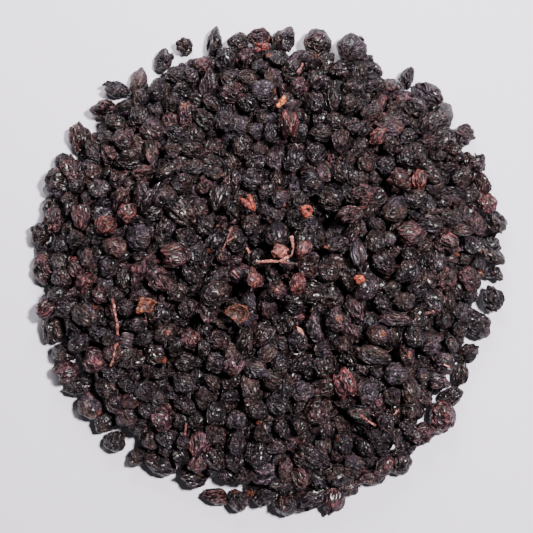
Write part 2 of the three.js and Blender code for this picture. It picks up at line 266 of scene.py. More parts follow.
def settle(random):
    """Scatters the berries, and pushes them apart where they overlap while they sink."""
    places, radii, proud, loose = scatter(random)
    homes = np.array([place for place, *_ in NOTABLE])
    placed = slice(0, len(homes))
    in_ring = np.arange(BERRY_COUNT) >= BERRY_COUNT - RING_COUNT
    balls = bedded()
    sizes = np.concatenate([radii, balls[:, 3]])
    freedom = np.concatenate([np.ones(BERRY_COUNT), np.zeros(len(balls))])
    for step in range(STEPS):
        every = np.vstack([places, balls[:, :3]])
        if step % LOOK_UP == 0:
            first, second = near_pairs(every, sizes)
            kept = freedom[first] + freedom[second] > 0
            first, second = first[kept], second[kept]
            share = CLEARED / (freedom[first] + freedom[second])
        offset = every[first] - every[second]
        distance = np.linalg.norm(offset, axis=1) + 1e-6
        overlap = np.maximum(sizes[first] + sizes[second] - distance, 0)
        push = offset / distance[:, None] * (overlap * share)[:, None]
        move = np.zeros_like(every)
        np.add.at(move, first, push)
        np.add.at(move, second, -push)
        places += np.clip(move[:BERRY_COUNT], -FARTHEST_PUSH, FARTHEST_PUSH)
        places[:, 2] -= SINK
        places[placed, :2] += PLACED_PULL * (homes - places[placed, :2])
        places[placed, 2] += PLACED_RISE
        angle = np.arctan2(places[:, 1], places[:, 0])
        limit = edge_radius(angle) + loose - radii
        limit += SPREAD[0] + SPREAD[1] * np.cos(angle - math.radians(SPREAD[2]))
        for direction, depth in RIM_GAPS:
            off = (np.degrees(angle) - direction + 180) % 360 - 180
            limit -= depth * np.exp(-(off / RIM_GAP_WIDTH) ** 2) * ~in_ring
        reach = limit / np.hypot(places[:, 0], places[:, 1])
        reach[~in_ring] = np.minimum(reach[~in_ring], 1)
        places[:, :2] *= reach[:, None]
        cap = top_height(places[:, 0], places[:, 1]) + proud - radii
        places[:, 2] = np.maximum(np.minimum(places[:, 2], cap), REST_SHARE * radii)
        places[in_ring, 2] = REST_SHARE * radii[in_ring]
    return places, radii


def open_share(places, radii, upward, count=32):
    """The share of ways out of each berry, up or down, that no other berry blocks."""
    height = (np.arange(count) + 0.5) / count
    turn = np.arange(count) * math.pi * (3 - math.sqrt(5))
    flat = np.sqrt(1 - height ** 2)
    ways = np.column_stack([flat * np.cos(turn), flat * np.sin(turn), height if upward else -height])
    share = np.zeros(len(places))
    for way in ways:
        start = places + SOLID_SHARE * way * radii[:, None]
        along = (places @ way)[None] - (start @ way)[:, None]
        squared = (places ** 2).sum(1)[None] + (start ** 2).sum(1)[:, None] - 2 * start @ places.T
        blocked = (along > 0) & (squared - along ** 2 < (SOLID_SHARE * radii[None]) ** 2)
        np.fill_diagonal(blocked, False)
        share += ~blocked.any(1)
    return share / count


random = np.random.default_rng(20261)
places, radii = settle(random)
open_above = open_share(places, radii, True)
open_below = open_share(places, radii, False)

# ----------------------------------------
# The berries. Each is a drupe 3 to 6 mm long whose flesh has shrunk on its seeds, so that the
# skin has folded: netted like a peppercorn, ribbed lengthwise, crumpled, dished, or still
# plump. One end keeps the crown of the flower, and the other the scar of the stalk.
# The radius that berries are modelled at, and the share of it that kept others out.
BODY_RADIUS = 2.2
SNUG = 0.92
# The crown's radius, its rim's width and height, and the width and depth of the pit in it.
CROWN_RADIUS = 0.55
CROWN_STEPS = ((0.1, 0.14), (0.14, -0.26))
# The stalk's scar: how far it reaches from the end's middle, and how softly it ends.
SCAR_REACH, SCAR_FADE = 0.64, 0.4
# The kinds: how flat a berry is while its skin folds, so that folds stretch along its length,
# its final length, width and height, the number of different berries, and the folds, each
# with the texture, the fold's size and the fold's depth.
KINDS = {
    "netted": (0.85, (1.14, 1.0, 0.92), 5,
               (("dents", 2.8, 1.8), ("net", 1.3, -0.8), ("ridges", 0.9, 0.3))),
    "ribbed": (0.45, (1.3, 0.94, 0.86), 5,
               (("dents", 2.6, 1.4), ("ridges", 1.2, 0.55), ("net", 0.9, -0.3))),
    "folded": (0.7, (1.18, 1.02, 0.84), 5,
               (("dents", 2.1, 2.1), ("ridges", 1.5, 0.65), ("creases", 0.9, 0.25))),
    "plump": (0.85, (1.14, 1.0, 0.96), 3,
              (("dents", 3.0, 1.1), ("ridges", 1.4, 0.45), ("net", 0.9, -0.35))),
    "dished": (0.7, (1.14, 1.04, 0.72), 4,
               (("dents", 3.4, 2.8), ("ridges", 1.4, 0.6), ("net", 0.9, -0.35))),
}
KIND_SHARES = {"netted": 0.24, "ribbed": 0.22, "folded": 0.27, "plump": 0.08, "dished": 0.19}
FOLD_TEXTURES = {
    "dents": ("CLOUDS", {"noise_depth": 1}),
    "creases": ("CLOUDS", {"noise_type": "HARD_NOISE", "noise_depth": 1}),
    "net": ("VORONOI", {"weight_1": -1, "weight_2": 1, "noise_intensity": 1.4}),
    "ridges": ("MUSGRAVE", {"musgrave_type": "RIDGED_MULTIFRACTAL", "octaves": 2, "noise_intensity": 0.6}),
}
# Each berry is folded this far from the last, in metres, so that no two fold alike. Towards its
# ends all folds but the dents lose this share of their depth, which keeps the ends round.
FOLD_STEP = (0.013, 0.007, 0.0)
ROUND_ENDS = 0.75
# How much longer each berry of a kind is than the last, and how the skin's creases stretch.
LONGER_BY = 0.06
CREASE_STRETCH = 0.85
# The height over an evened skin that counts as all of the relief, and how often it is evened.
RELIEF_HEIGHT = 0.16
EVENINGS = 6
# The map has a disc for each half of a berry: its middle, across, and its radius.
DISC_MIDDLES = (0.25, 0.75)
DISC_RADIUS = 0.215
# How far a berry leans, in degrees, to show its crown or its scar from above, how much, in
# radians, berries lean at random, and the shares of that for the listed ones.
ENDS_UP = {"crown": -65, "scar": 75}
LEAN, ENDS_UP_LEAN, LAID_LEAN = 0.35, 0.5, 0.15
STRETCHES = (0.9, 1.12)
# How ripe the blackest berry is, how much paler the palest is, and how rare pale ones are. The
# share with a bloom, its least, what may be added to it, and the most that others have. The
# share with a pale scar.
RIPENESS, PALER_BY, RARITY = 0.04, 0.58, 3.6
BLOOMED, BLOOM, BLOOM_MORE, BLOOM_ELSE = 0.2, 0.15, 0.3, 0.1
SCARRED = 0.22
# How far apart berries are in the pattern of the skin, and how many are in a row of it.
SKIN_STEP, SKIN_ROW = (7.3, 3.1), 29
# Triangles of a berry, by how much of it shows, and how open to above or below each then is.
DETAIL = {"fine": 940, "medium": 480, "under": 280, "hidden": 80}
OPEN_FINE, OPEN_MEDIUM, OPEN_UNDER = 0.22, 0.05, 0.08


def clear_selection():
    if bpy.context.object and bpy.context.object.mode != "OBJECT":
        bpy.ops.object.mode_set(mode="OBJECT")
    bpy.ops.object.select_all(action="DESELECT")


def apply_modifier(piece, kind, **settings):
    bpy.context.view_layer.objects.active = piece
    bpy.ops.object.modifier_add(type=kind)
    modifier = piece.modifiers[-1]
    for name, value in settings.items():
        setattr(modifier, name, value)
    bpy.ops.object.modifier_apply(modifier=modifier.name)


def fold_texture(name, size):
    kind, settings = FOLD_TEXTURES[name]
    texture = bpy.data.textures.new(f"{name}_{size}", kind)
    texture.noise_scale = size * MM
    for setting, value in settings.items():
        setattr(texture, setting, value)
    return texture


def fold(piece, folds, number, step=FOLD_STEP):
    """Folds a piece's skin, at its own number of steps along the textures."""
    piece.location = [number * length for length in step]
    for name, size, depth in folds:
        apply_modifier(piece, "DISPLACE", texture=fold_texture(name, size), texture_coords="GLOBAL",
                       strength=depth * MM, mid_level=0.5, vertex_group="" if name == "dents" else "sides")
    piece.location = (0, 0, 0)


def raise_crown(berry):
    """The flower's crown, at the end along +X: a small rim round a pit."""
    for polygon in berry.data.polygons:
        centre = polygon.center
        polygon.select = centre.x > 0 and math.hypot(centre.y, centre.z) < CROWN_RADIUS * MM
    bpy.ops.object.mode_set(mode="EDIT")
    bpy.ops.mesh.select_mode(type="FACE")
    for width, rise in CROWN_STEPS:
        bpy.ops.mesh.inset(thickness=width * MM, depth=rise * MM, use_even_offset=False)
    bpy.ops.object.mode_set(mode="OBJECT")


def model_berry(number, flatness, shape, folds):
    """A folded berry with its length along X. The shape is its size against a round berry's."""
    clear_selection()
    bpy.ops.mesh.primitive_ico_sphere_add(subdivisions=5, radius=BODY_RADIUS * MM)
    berry = bpy.context.object
    raise_crown(berry)
    bpy.ops.transform.resize(value=(flatness, 1, 1))
    bpy.ops.object.transform_apply(location=False, rotation=False, scale=True)
    sides = berry.vertex_groups.new(name="sides")
    end = BODY_RADIUS * MM * flatness
    for vertex in berry.data.vertices:
        sides.add([vertex.index], 1 - ROUND_ENDS * (vertex.co.x / end) ** 2, "REPLACE")
    fold(berry, folds, number)
    size = Vector(berry.dimensions)
    target = Vector(shape) * 2 * BODY_RADIUS * MM
    clear_selection()
    berry.select_set(True)
    bpy.ops.transform.resize(value=[t / s for t, s in zip(target, size)])
    bpy.ops.object.origin_set(type="ORIGIN_GEOMETRY", center="BOUNDS")
    berry.location = (0, 0, 0)
    bpy.ops.object.transform_apply(location=True, rotation=True, scale=True)
    bpy.ops.object.shade_smooth()
    return berry


def thin_out(piece, triangles):
    faces = sum(len(polygon.vertices) - 2 for polygon in piece.data.polygons)
    apply_modifier(piece, "DECIMATE", ratio=min(1, triangles / faces))


def read_rows(data, field, width, kind=np.float32):
    """A field of a mesh's data as an array with a row for each element."""
    values = np.empty(width * len(data), kind)
    data.foreach_get(field, values)
    return values.reshape(-1, width)


def write_attribute(mesh, name, values):
    """Gives each point of a mesh a number or a place, for its material to read."""
    values = np.asarray(values, np.float32)
    kind, field = ("FLOAT", "value") if values.ndim == 1 else ("FLOAT_VECTOR", "vector")
    attribute = mesh.attributes.get(name) or mesh.attributes.new(name, kind, "POINT")
    attribute.data.foreach_set(field, values.ravel())


def give_values(mesh, **values):
    """Gives all points of a mesh the same values."""
    for name, value in values.items():
        write_attribute(mesh, name, np.full(len(mesh.vertices), value))


def lay_out_halves(mesh):
    """A map of two round discs side by side, for the berry's upper and lower half."""
    spot = read_rows(mesh.vertices, "co", 3)[read_rows(mesh.loops, "vertex_index", 1, np.int32)[:, 0]]
    upper = np.repeat(spot.reshape(-1, 3, 3).mean(1)[:, 2] > 0, 3)
    steep = np.arctan2(np.hypot(spot[:, 0], spot[:, 1]), np.where(upper, spot[:, 2], -spot[:, 2]))
    turn = np.arctan2(spot[:, 1], spot[:, 0])
    reach = DISC_RADIUS * steep / (math.pi / 2)
    across = np.where(upper, *DISC_MIDDLES) + reach * np.cos(turn)
    along = 0.5 + 2 * reach * np.sin(turn)
    layer = mesh.uv_layers.new(name="OFBake")
    layer.data.foreach_set("uv", np.column_stack([across, along]).astype(np.float32).ravel())


def note_relief(mesh, stretch):
    """Writes how high each point stands over the skin round it, from 0 to 1, its place on the
    skin in millimetres, with the length scaled by the stretch, and the stalk's scar at -X."""
    points = read_rows(mesh.vertices, "co", 3)
    edges = read_rows(mesh.edges, "vertices", 2, np.int32)
    height = np.linalg.norm(points, axis=1)
    level = height.copy()
    for _ in range(EVENINGS):
        total = np.zeros(len(points))
        number = np.zeros(len(points))
        for one, other in ((0, 1), (1, 0)):
            np.add.at(total, edges[:, one], level[edges[:, other]])
            np.add.at(number, edges[:, one], 1)
        level = 0.5 * level + 0.5 * total / np.maximum(number, 1)
    relief = (height - level) / (RELIEF_HEIGHT * MM)
    write_attribute(mesh, "relief", np.clip(0.5 + 0.5 * relief, 0, 1))
    write_attribute(mesh, "skin", points / MM * (stretch, 1, 1))
    side = np.hypot(points[:, 1], points[:, 2])
    scar = np.clip((SCAR_REACH * MM - side) / (SCAR_FADE * MM), 0, 1)
    write_attribute(mesh, "scar", scar * (points[:, 0] < 0))


def model_kinds():
    """Every different berry in every detail."""
    masters = {}
    number = 1
    for kind, (flatness, shape, variety, folds) in KINDS.items():
        for turn in range(variety):
            longer = 1 + LONGER_BY * (turn - 0.5 * (variety - 1))
            berry = model_berry(number, flatness, (shape[0] * longer, shape[1], shape[2] / longer), folds)
            number += 1
            for detail, triangles in DETAIL.items():
                master = berry.copy()
                master.data = berry.data.copy()
                bpy.context.collection.objects.link(master)
                thin_out(master, triangles)
                apply_modifier(master, "TRIANGULATE")
                lay_out_halves(master.data)
                note_relief(master.data, CREASE_STRETCH * flatness)
                masters[kind, turn, detail] = master
            bpy.data.objects.remove(berry)
    return masters


def linear(colour):
    """An sRGB hex colour as the linear colour that a socket takes."""
    channels = [int(colour[i:i + 2], 16) / 255 for i in (1, 3, 5)]
    return (*[c / 12.92 if c <= 0.04045 else ((c + 0.055) / 1.055) ** 2.4 for c in channels], 1.0)


def add_node(tree, kind, inputs=(), stops=(), output=None, **settings):
    """Adds a node and gives its output, which is the first unless it is named. The inputs are
    values or links, in the sockets' order or by name. Stops are a ramp's places and colours."""
    node = tree.nodes.new("ShaderNode" + kind)
    for name, value in settings.items():
        setattr(node, name, value)
    for socket, value in inputs.items() if isinstance(inputs, dict) else enumerate(inputs):
        if isinstance(value, bpy.types.NodeSocket):
            tree.links.new(value, node.inputs[socket])
        else:
            node.inputs[socket].default_value = value
    if stops:
        ramp = node.color_ramp
        while len(ramp.elements) < len(stops):
            ramp.elements.new(0.5)
        for element, (position, colour) in zip(ramp.elements, stops):
            element.position = position
            element.color = linear(colour)
    return node.outputs[output] if output else next((way for way in node.outputs if way.enabled), None)


def new_material(name):
    """A material, and the function that adds a node to it."""
    material = bpy.data.materials.new(name)
    material.use_nodes = True
    material.node_tree.nodes.clear()
    return material, partial(add_node, material.node_tree)


def mottled_colour(add, coords, features, rough, strength, shade, stops):
    """A colour by a shade and a mottle, and the mottle. The features are counted along a unit
    of the coordinates, and the strength is how far the mottle shifts the shade."""
    mottle = add("TexNoise", {"Vector": coords, "Scale": features, "Detail": 3.0, "Roughness": rough})
    patch = add("Math", (mottle, 0.5), operation="SUBTRACT")
    tint = add("Math", (patch, strength, shade), operation="MULTIPLY_ADD")
    return add("ValToRGB", [tint], stops), mottle


def crease_crests(add, skin):
    """Fine creases: their crests run where either of two noises crosses its middle value. They
    are drawn about twice as wide as real ones, 0.1 mm, which are too fine to show."""
    creases = []
    for scale in (0.75, 1.2):
        waves = add("TexNoise", {
            "Vector": skin, "Scale": scale, "Detail": 1.0, "Roughness": 0.4, "Distortion": 0.6})
        away = add("Math", (waves, 0.5), operation="SUBTRACT")
        far = add("Math", [away], operation="ABSOLUTE")
        creases.append(add("MapRange", (far, 0.0, 0.07, 1.0, 0.0), interpolation_type="SMOOTHSTEP"))
    return add("Math", creases, operation="MAXIMUM")


def paint_crest_highlight(add, colour, crest, gain, least):
    """A colour that is paler on its creases, a painted highlight along their crests: the gain there, and the
    least between them.
    """
    light = add("Math", (crest, gain, least), operation="MULTIPLY_ADD")
    return add("VectorMath", {0: colour, "Scale": light}, operation="SCALE")


def finish_material(add, colour, roughness, ior, height, depth):
    """The surface, with a relief of so many millimetres for a height of 1."""
    bump = add("Bump", {"Strength": 1.0, "Distance": depth * MM, "Height": height})
    shader = add("BsdfPrincipled", {"Base Color": colour, "Roughness": roughness, "IOR": ior, "Normal": bump})
    add("OutputMaterial", [shader])


def dried_skin():
    """Dried elderberry skin: a thin waxy skin, shrunk on sticky flesh. It is near black with a
    purple or brown cast, semi-gloss on its creases, with a dull lilac bloom in places. Its colour
    carries a painted highlight and lilac sheen on the crease crests, and painted shade in its folds."""
    material, add = new_material("dried_elderberry_skin")
    skin = add("Attribute", output="Vector", attribute_name="skin")
    ripeness, bloom, relief, scar = (add("Attribute", output="Fac", attribute_name=name)
                                     for name in ("ripeness", "bloom", "relief", "scar"))
    colour, mottle = mottled_colour(add, skin, 0.62, 0.6, 0.8, ripeness, (
        (0.0, "#0b0506"), (0.22, "#170a0d"), (0.42, "#291316"), (0.6, "#3e1d20"),
        (0.8, "#652b27"), (1.0, "#884526")))

    crest = crease_crests(add, skin)
    # Painted highlight: the colour is made far paler on the crease crests and kept dark between them.
    lit = paint_crest_highlight(add, colour, crest, 1.8, 0.12)
    # Painted shade in the folds, where the skin stands low, and paler raised skin, where it is worn: the
    # colour scales with the relief.
    wear_and_shade = add("MapRange", (relief, 0.15, 0.85, 0.5, 1.3))
    shade = add("VectorMath", {0: lit, "Scale": wear_and_shade}, operation="SCALE")
    veil = add("MapRange", (mottle, 0.4, 0.7, 0.0, 1.0))
    dust = add("Math", (veil, bloom), operation="MULTIPLY")
    # The lilac haze is the bloom, a real waxy dust, plus a painted sheen on the crease crests.
    sheen_and_bloom_share = add("Math", (crest, 0.2, dust), operation="MULTIPLY_ADD")
    cast = add("TexNoise", {"Vector": skin, "Scale": 0.35, "Detail": 1.0})
    sheen_and_bloom_colour = add("ValToRGB", [cast], ((0.38, "#664b47"), (0.62, "#5a4d5e")))
    sheen_and_bloom_mixed = add("Mix", {"Factor": sheen_and_bloom_share, "A": shade, "B": sheen_and_bloom_colour}, data_type="RGBA")
    scarred = add("Mix", {"Factor": scar, "A": sheen_and_bloom_mixed, "B": linear("#743f30")}, data_type="RGBA")

    folds = add("TexNoise", {
        "Vector": skin, "Scale": 0.85, "Detail": 1.2, "Roughness": 0.6, "Distortion": 0.5},
        noise_type="RIDGED_MULTIFRACTAL")
    height = add("Math", (crest, 0.6, folds), operation="MULTIPLY_ADD")
    fine = add("TexNoise", {"Vector": skin, "Scale": 2.4, "Detail": 2.0})
    waxy = add("MapRange", (fine, 0.3, 0.7, 0.24, 0.38))
    rough = add("Math", (bloom, 0.3, waxy), operation="MULTIPLY_ADD")
    finish_material(add, scarred, rough, 1.46, height, 0.7)
    return material


def choose_looks(random):
    """The ripeness and bloom of every berry, and whether its scar is pale."""
    draw = random.uniform(0, 1, BERRY_COUNT)
    within = random.uniform(0, 1, BERRY_COUNT)
    ripeness = RIPENESS + PALER_BY * draw ** RARITY
    bloomed = random.uniform(0, 1, BERRY_COUNT) < BLOOMED
    bloom = np.where(bloomed, BLOOM + BLOOM_MORE * within, BLOOM_ELSE * within)
    scars = random.uniform(0, 1, BERRY_COUNT) < SCARRED
    for index, (_, _, shade, _, way) in enumerate(NOTABLE):
        ripeness[index] = shade
        bloom[index] = BLOOM_ELSE
        scars[index] = way == "scar"
    return ripeness, bloom, scars


def set_down(mesh, place, turn, size):
    """Puts a berry's mesh in its place. It is raised if it reaches below the surface."""
    mesh.transform(Matrix.Translation(place) @ turn.to_4x4() @ Matrix.Diagonal((*size, 1)))
    lowest = min(vertex.co.z for vertex in mesh.vertices)
    if lowest < 0:
        mesh.transform(Matrix.Translation((0, 0, -lowest)))


def berry_copy(master, index, cell, looks):
    """A mesh like the master's, with the berry's own looks, skin and cell of the piece's map."""
    ripeness, bloom, scars = looks
    mesh = master.data.copy()
    give_values(mesh, ripeness=ripeness[index], bloom=bloom[index])
    skin = read_rows(mesh.attributes["skin"].data, "vector", 3)
    shift = (SKIN_STEP[0] * index, SKIN_STEP[1] * (index % SKIN_ROW), 0)
    write_attribute(mesh, "skin", skin + shift)
    if not scars[index]:
        give_values(mesh, scar=0)
    layer = mesh.uv_layers["OFBake"]
    corner, cells = cell
    spots = (read_rows(layer.data, "uv", 2) + corner) / cells
    layer.data.foreach_set("uv", spots.astype(np.float32).ravel())
    return mesh


def declare(piece, node, material, name=None):
    """Gives a finished piece its name and its material in a slot, hangs it on the root body, and hides the
    source's part of that node where the source has it.
    """
    piece.name = piece.data.name = name or f"{node}_dried"
    piece.data.materials.clear()
    piece.data.materials.append(material)
    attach(piece, "root")
    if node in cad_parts:
        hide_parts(node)


def join_berries(name, members, masters, turns, stretches, looks, material):
    """One piece of many berries, each with its own cell of the piece's map."""
    rows = math.ceil(math.sqrt(2 * len(members)))
    columns = math.ceil(len(members) / rows)
    clear_selection()
    for number, (index, kind, variety, detail) in enumerate(members):
        cell = ((number % columns, number // columns), (columns, rows))
        mesh = berry_copy(masters[kind, variety, detail], index, cell, looks)
        size = radii[index] / (SNUG * BODY_RADIUS) * stretches[index]
        set_down(mesh, in_frame(places[index]), turns[index], size)
        berry = bpy.data.objects.new(f"{name}_{number}", mesh)
        bpy.context.collection.objects.link(berry)
        berry.select_set(True)
        if number == 0:
            bpy.context.view_layer.objects.active = berry
    bpy.ops.object.join()
    declare(bpy.context.object, "berry_heap", material, name)


def turn_berry(random, index):
    """The turn of a berry: at random, but for the listed ones."""
    lean = random.normal(0, LEAN)
    heading = random.uniform(0, 2 * math.pi)
    roll = random.uniform(0, 2 * math.pi)
    way = NOTABLE[index][4] if index < len(NOTABLE) else None
    if way in ENDS_UP:
        lean = math.radians(ENDS_UP[way]) + ENDS_UP_LEAN * lean
    elif way is not None:
        lean, heading = LAID_LEAN * lean, math.radians(way)
    return (Matrix.Rotation(heading, 3, "Z") @ Matrix.Rotation(lean, 3, "Y")
            @ Matrix.Rotation(roll, 3, "X"))


def place_berries(random):
    masters = model_kinds()
    looks = choose_looks(random)
    names = list(KINDS)
    kinds = random.choice(len(names), BERRY_COUNT, p=[KIND_SHARES[name] for name in names])
    varieties = random.integers(0, 1000, BERRY_COUNT)
    stretches = random.uniform(*STRETCHES, (BERRY_COUNT, 3))
    turns = [turn_berry(random, index) for index in range(BERRY_COUNT)]
    groups = {}
    for index in range(BERRY_COUNT):
        kind = NOTABLE[index][3] if index < len(NOTABLE) else names[kinds[index]]
        if open_above[index] > OPEN_FINE:
            detail, group = "fine", f"berries_{kind}"
        elif open_above[index] > OPEN_MEDIUM:
            detail, group = "medium", f"berries_{kind}"
        elif open_below[index] > OPEN_UNDER:
            detail, group = "under", "berries_underneath"
        else:
            detail, group = "hidden", "berries_inside"
        variety = varieties[index] % KINDS[kind][2]
        groups.setdefault(group, []).append((index, kind, variety, detail))
    material = dried_skin()
    for name, members in groups.items():
        join_berries(name, members, masters, turns, stretches, looks, material)
    for master in masters.values():
        bpy.data.objects.remove(master)


place_berries(random)

# ----------------------------------------
# The stalks. Bits of the thin branched stalks that the berries grew on, dried hard and
# shrivelled, pink to brown, snapped off when the berries were rubbed loose.
STALK_STEP = 0.6
# How unevenly a stalk swells, how much wider it is at its ends and forks and narrower between
# them, and its folds.
STALK_SWELLING = 0.3
STALK_KNOB, STALK_NECK = 1.15, 0.8
STALK_FOLDS = (("ridges", 0.8, 0.18),)
# Where along a stalk its shade starts to change, and over how much of it. What lies nearer to
# the side branch than this share of its width keeps the first shade.
SHADE_FROM, SHADE_OVER = 0.48, 0.4
BRANCH_SHARE = 0.62


def follow(route):
    """Extrudes the selected point along a stalk's route, in edit mode."""
    spots = [Vector(place) for place in route]
    for one, other in zip(spots, spots[1:]):
        bpy.ops.mesh.extrude_region_move(TRANSFORM_OT_translate={"value": (other - one) * MM})


def model_stalk(width, shades, branches, random):
    """A line of points along the branches, given a skin that swells unevenly."""
    clear_selection()
    bpy.ops.mesh.primitive_plane_add(size=MM)
    stalk = bpy.context.object
    bpy.ops.object.mode_set(mode="EDIT")
    bpy.ops.mesh.select_mode(type="VERT")
    bpy.ops.mesh.select_all(action="SELECT")
    bpy.ops.mesh.merge(type="CENTER")
    routes = [stalk_route(branch, STALK_STEP) for branch in branches]
    bpy.ops.transform.translate(value=in_frame(routes[0][0]))
    follow(routes[0])
    for route in routes[1:]:
        bpy.ops.mesh.select_all(action="DESELECT")
        bpy.ops.object.mode_set(mode="OBJECT")
        start = in_frame(route[0])
        fork = min(stalk.data.vertices, key=lambda vertex: (vertex.co - start).length)
        fork.select = True
        bpy.ops.object.mode_set(mode="EDIT")
        follow(route)
    bpy.ops.object.mode_set(mode="OBJECT")
    bpy.ops.object.modifier_add(type="SKIN")
    neighbours = np.bincount([v for edge in stalk.data.edges for v in edge.vertices])
    for index, point in enumerate(stalk.data.skin_vertices[0].data):
        swelling = 1 + STALK_SWELLING * random.normal()
        knob = STALK_KNOB if neighbours[index] != 2 else STALK_NECK
        point.radius = (0.5 * width * MM * knob * swelling,) * 2
    bpy.ops.object.modifier_apply(modifier=stalk.modifiers[-1].name)
    apply_modifier(stalk, "SUBSURF", levels=2, render_levels=2)
    fold(stalk, STALK_FOLDS, 0)
    bpy.ops.object.shade_smooth()
    spots = np.array([vertex.co for vertex in stalk.data.vertices]) / MM - (*MOUND_MIDDLE, 0)
    start, end = np.array([routes[0][0], routes[0][-1]])[:, :2]
    along = np.clip((spots[:, :2] - start) @ (end - start) / ((end - start) ** 2).sum(), 0, 1)
    if len(routes) > 1:
        apart = np.linalg.norm(spots[:, None] - np.array(routes[1])[None], axis=2).min(1)
        along = np.where(apart < BRANCH_SHARE * width, 0, along)
    changed = np.clip((along - SHADE_FROM) / SHADE_OVER, 0, 1)
    write_attribute(stalk.data, "shade", shades[0] + (shades[1] - shades[0]) * changed)
    return stalk


def dried_stalk():
    """Dried elderberry stalk: woody and fibrous with a thin red-brown rind, dull, with fine
    lengthwise wrinkles and paler high spots: scuffs, with a painted highlight on the crests."""
    material, add = new_material("dried_elder_stalk")
    coords = add("TexCoord", output="Object")
    shade = add("Attribute", output="Fac", attribute_name="shade")
    colour, mottle = mottled_colour(add, coords, 1.3 / MM, 0.7, 2.6, shade, (
        (0.0, "#c98f84"), (0.25, "#a35a50"), (0.5, "#6e3a38"), (0.75, "#402a27"), (1.0, "#1f1818")))
    rind = add("VectorMath", {0: coords, "Scale": 1.4 / MM}, operation="SCALE")
    crest = crease_crests(add, rind)
    rough = add("MapRange", (mottle, 0.3, 0.7, 0.45, 0.7))
    # Painted highlight on the crease crests of the rind.
    finish_material(add, paint_crest_highlight(add, colour, crest, 0.8, 0.5), rough, 1.5, crest, 0.25)
    return material


def lay_stalks(random):
    material = dried_stalk()
    for name, (width, shades, *branches) in STALKS.items():
        declare(model_stalk(width, shades, branches, random), name, material)


lay_stalks(random)

# ----------------------------------------
# Unripe berries. Picked before they turned black, so their skin dried red or brown over firm
# seeds: one drawn out to a point, one long, a small brown one under the forked stalk, and a
# reddish one beside it.
# The roll in degrees, how far the end at +X is drawn out, or the end at -X if it is negative,
# how ripe from 0, burgundy, to 1, orange, the bloom, and the folds.
UNRIPE = {
    "berry_red_pointed": (40, 1.3, 0.78, 0.4,
                          (("dents", 2.4, 0.7), ("ridges", 1.2, 0.35), ("net", 0.9, -0.3))),
    "berry_red_long": (10, 0.25, 0.7, 0.1,
                       (("dents", 2.6, 0.7), ("ridges", 1.1, 0.4), ("net", 0.9, -0.3))),
    "berry_brown": (80, 0.15, 0.5, 0.2,
                    (("dents", 1.8, 1.5), ("ridges", 1.0, 0.6), ("net", 0.8, -0.4))),
    "berry_reddish": (20, -0.35, 0.7, 0.35,
                      (("dents", 2.8, 0.7), ("ridges", 1.1, 0.45), ("net", 0.9, -0.2))),
}
# The number that the first one is folded at, how flat they are then, how their creases
# stretch, and their triangles.
UNRIPE_NUMBER = 40
UNRIPE_FLATNESS = 0.7
UNRIPE_STRETCH = 0.35
UNRIPE_TRIANGLES = 3000
# How much thinner a berry gets for a millimetre that its end is drawn out.
THINNER_BY = 0.55
# The brown berry lies a little off its bed, so that it shows beside the stalk.
BROWN_SHIFT = (0, -0.8, 0.15)


def folded_shade(add, low, high):
    """How ripe the skin looks, with painted shade: darker in its folds, down to low, and paler on them, up to
    high.
    """
    ripeness = add("Attribute", output="Fac", attribute_name="ripeness")
    relief = add("Attribute", output="Fac", attribute_name="relief")
    raised = add("MapRange", (relief, 0.1, 0.9, low, high))
    return add("Math", (ripeness, raised), operation="ADD")


def unripe_skin():
    """Unripe elderberry skin: thin, dried red to orange-brown over pale flesh, semi-gloss,
    darker in its folds, a painted shade, and paler on its creases, a painted highlight."""
    material, add = new_material("unripe_elderberry_skin")
    skin = add("Attribute", output="Vector", attribute_name="skin")
    bloom = add("Attribute", output="Fac", attribute_name="bloom")
    colour, mottle = mottled_colour(add, skin, 0.8, 0.6, 1.1, folded_shade(add, -0.22, 0.18), (
        (0.0, "#1d1012"), (0.25, "#47201f"), (0.5, "#733233"), (0.7, "#93412c"),
        (0.85, "#9c5331"), (1.0, "#b87547")))
    sheen_and_bloom_mixed = add("Mix", {"Factor": bloom, "A": colour, "B": linear("#a9857f")}, data_type="RGBA")
    crest = crease_crests(add, skin)
    rough = add("MapRange", (mottle, 0.3, 0.7, 0.4, 0.58))
    # Painted highlight on the crease crests.
    finish_material(add, paint_crest_highlight(add, sheen_and_bloom_mixed, crest, 1.1, 0.4), rough, 1.4, crest, 0.2)
    return material


def fit_single(piece, name, roll=0.0):
    """Turns a piece that points along +X, sizes it and puts it in its place on the heap."""
    _, size, turn, _ = SINGLES[name]
    piece.data.transform(Matrix.Rotation(math.radians(roll), 4, "X"))
    points = np.array([vertex.co for vertex in piece.data.vertices])
    low, high = points.min(0), points.max(0)
    piece.data.transform(Matrix.Translation(-Vector((low + high) / 2)))
    piece.data.transform(Matrix.Diagonal([s * MM / d for s, d in zip(size, high - low)] + [1]))
    place = single_place(name)
    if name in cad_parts:
        place.z = sum(corner[2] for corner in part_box(name)) / 2
    piece.data.transform(Matrix.Translation(place) @ Matrix.Rotation(math.radians(turn), 4, "Z"))


def draw_out(piece, reach):
    """Pulls the end at +X out to a point, or the end at -X where the reach is negative."""
    way = math.copysign(1, reach)
    tip = max(way * vertex.co.x for vertex in piece.data.vertices)
    for vertex in piece.data.vertices:
        share = max(way * vertex.co.x / tip, 0)
        thinner = 1 - THINNER_BY * abs(reach) * share ** 1.5
        vertex.co.x += reach * MM * share ** 3
        vertex.co.y *= thinner
        vertex.co.z *= thinner


